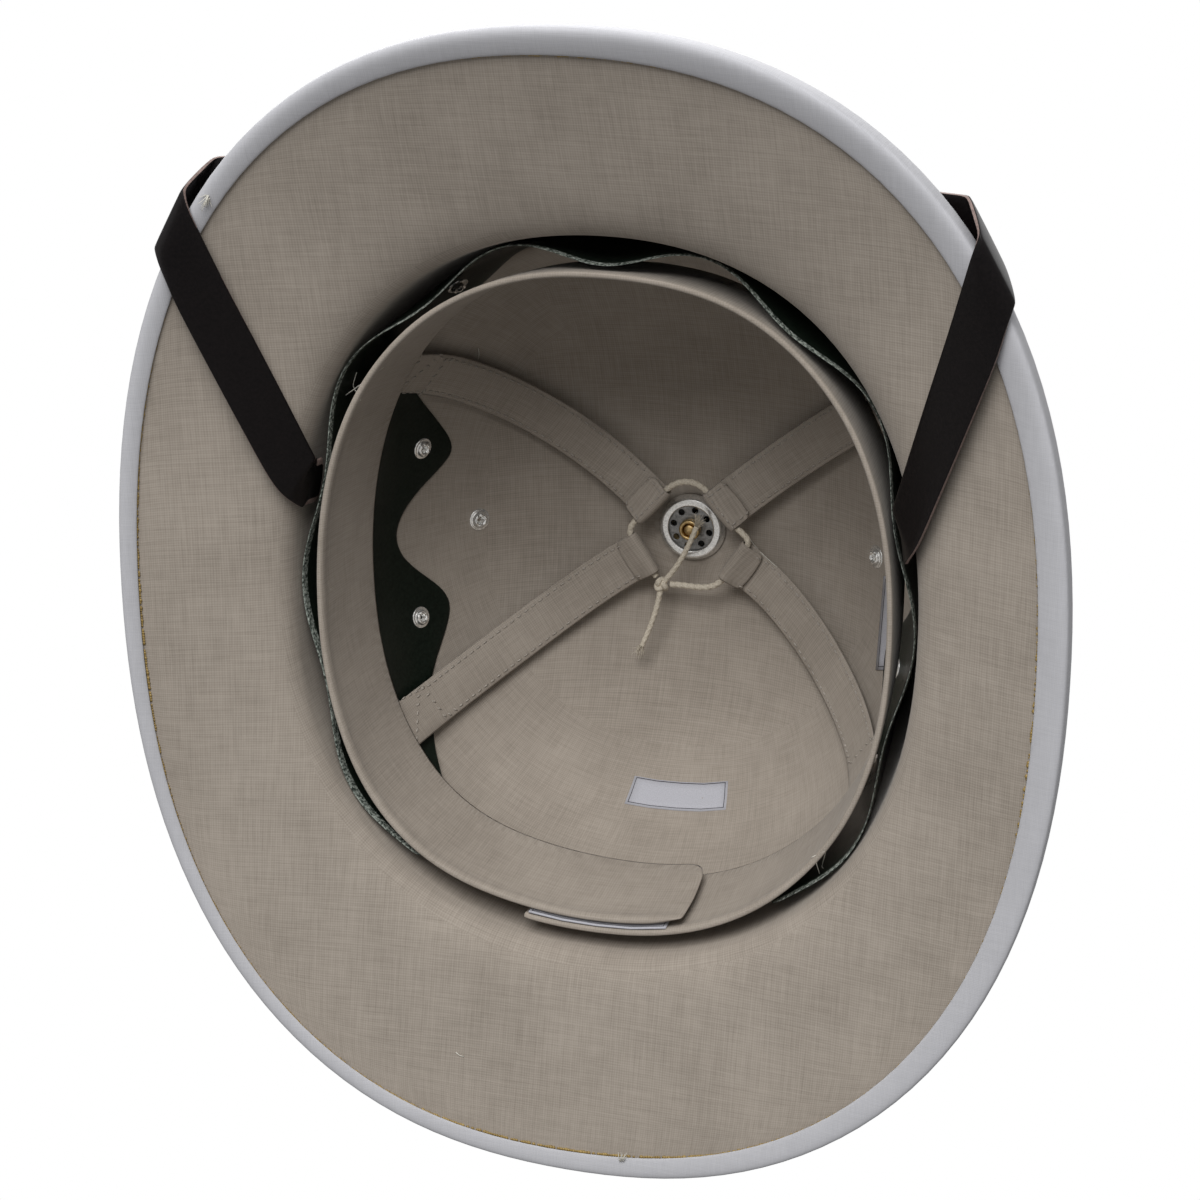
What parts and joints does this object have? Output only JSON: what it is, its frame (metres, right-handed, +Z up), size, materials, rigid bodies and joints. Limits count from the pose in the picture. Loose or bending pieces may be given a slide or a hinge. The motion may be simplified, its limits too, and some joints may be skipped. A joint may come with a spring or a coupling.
{
  "type": "cork sun helmet",
  "caption": "Cloth-covered cork sun helmet with a wide brim, pleated hat band, ventilator cap, riveted spacer strip, lapped headband, crown straps with a drawcord and a leather chin strap.",
  "frame": {"origin": "on the table, under the middle of the brim", "axes": "+Z up through the crown, -Y towards the front of the helmet, +X towards its left side as worn, which is the right side of the picture"},
  "size_m": [0.283, 0.343, 0.1573],
  "materials": {
    "cork": "matte cork, hidden",
    "drill_cloth": "matte khaki drill, worn",
    "white_cloth": "matte white cotton",
    "white_tape": "matte white woven tape",
    "oilcloth": "dark oiled cloth, low sheen",
    "black_leather": "smooth black leather",
    "nickel": "dull nickel plate",
    "zinc": "dark grey paint",
    "brass": "tarnished brass",
    "cotton": "natural cotton cord",
    "paper": "plain printed-cloth patch, left bare"
  },
  "bodies": {
    "helmet": {"shell_body": "cork", "crown_lining": "drill_cloth", "brim_lining": "drill_cloth", "brim_cover": "white_cloth", "crown_cover_1": "white_cloth", "crown_cover_2": "white_cloth", "crown_cover_3": "white_cloth", "crown_cover_4": "white_cloth", "crown_cover_5": "white_cloth", "crown_cover_6": "white_cloth", "brim_binding": "white_tape", "hat_band": "white_cloth", "headband": "drill_cloth", "spacer_strip": "oilcloth", "tab_rivet_1": "nickel", "tab_rivet_2": "nickel", "tab_rivet_3": "nickel", "tab_rivet_4": "nickel", "tab_rivet_5": "nickel", "tab_rivet_6": "nickel", "tab_rivet_7": "nickel", "side_rivet_right": "nickel", "side_rivet_left": "nickel", "vent_tube": "zinc", "vent_top_ring": "zinc", "vent_disc": "zinc", "vent_nut": "brass", "crown_strap_front_left": "drill_cloth", "crown_strap_front_right": "drill_cloth", "crown_strap_rear_left": "drill_cloth", "crown_strap_rear_right": "drill_cloth", "crown_label": "paper", "headband_label": "paper", "drawcord": "cotton", "drawcord_knot": "cotton", "drawcord_tail_short": "cotton", "drawcord_tail_long": "cotton", "chin_strap": "black_leather"},
    "cap_washer": {"vent_washer": "black_leather"},
    "cap": {"vent_cap": "white_tape"}
  },
  "joints": [
    {"name": "vent_turn", "type": "hinge", "parent": "helmet", "child": "cap_washer", "pos_m": [0, 0.0062, 0.14], "axis": [0, 0, 1], "range_deg": [0, 720]},
    {"name": "vent_lift", "type": "slide", "parent": "cap_washer", "child": "cap", "axis": [0, 0, 1], "range_m": [0, 0.003]}
  ],
  "couplings": [
    {"joint": "vent_turn", "follows": "vent_lift", "rad_per_m": 4188.8}
  ]
}
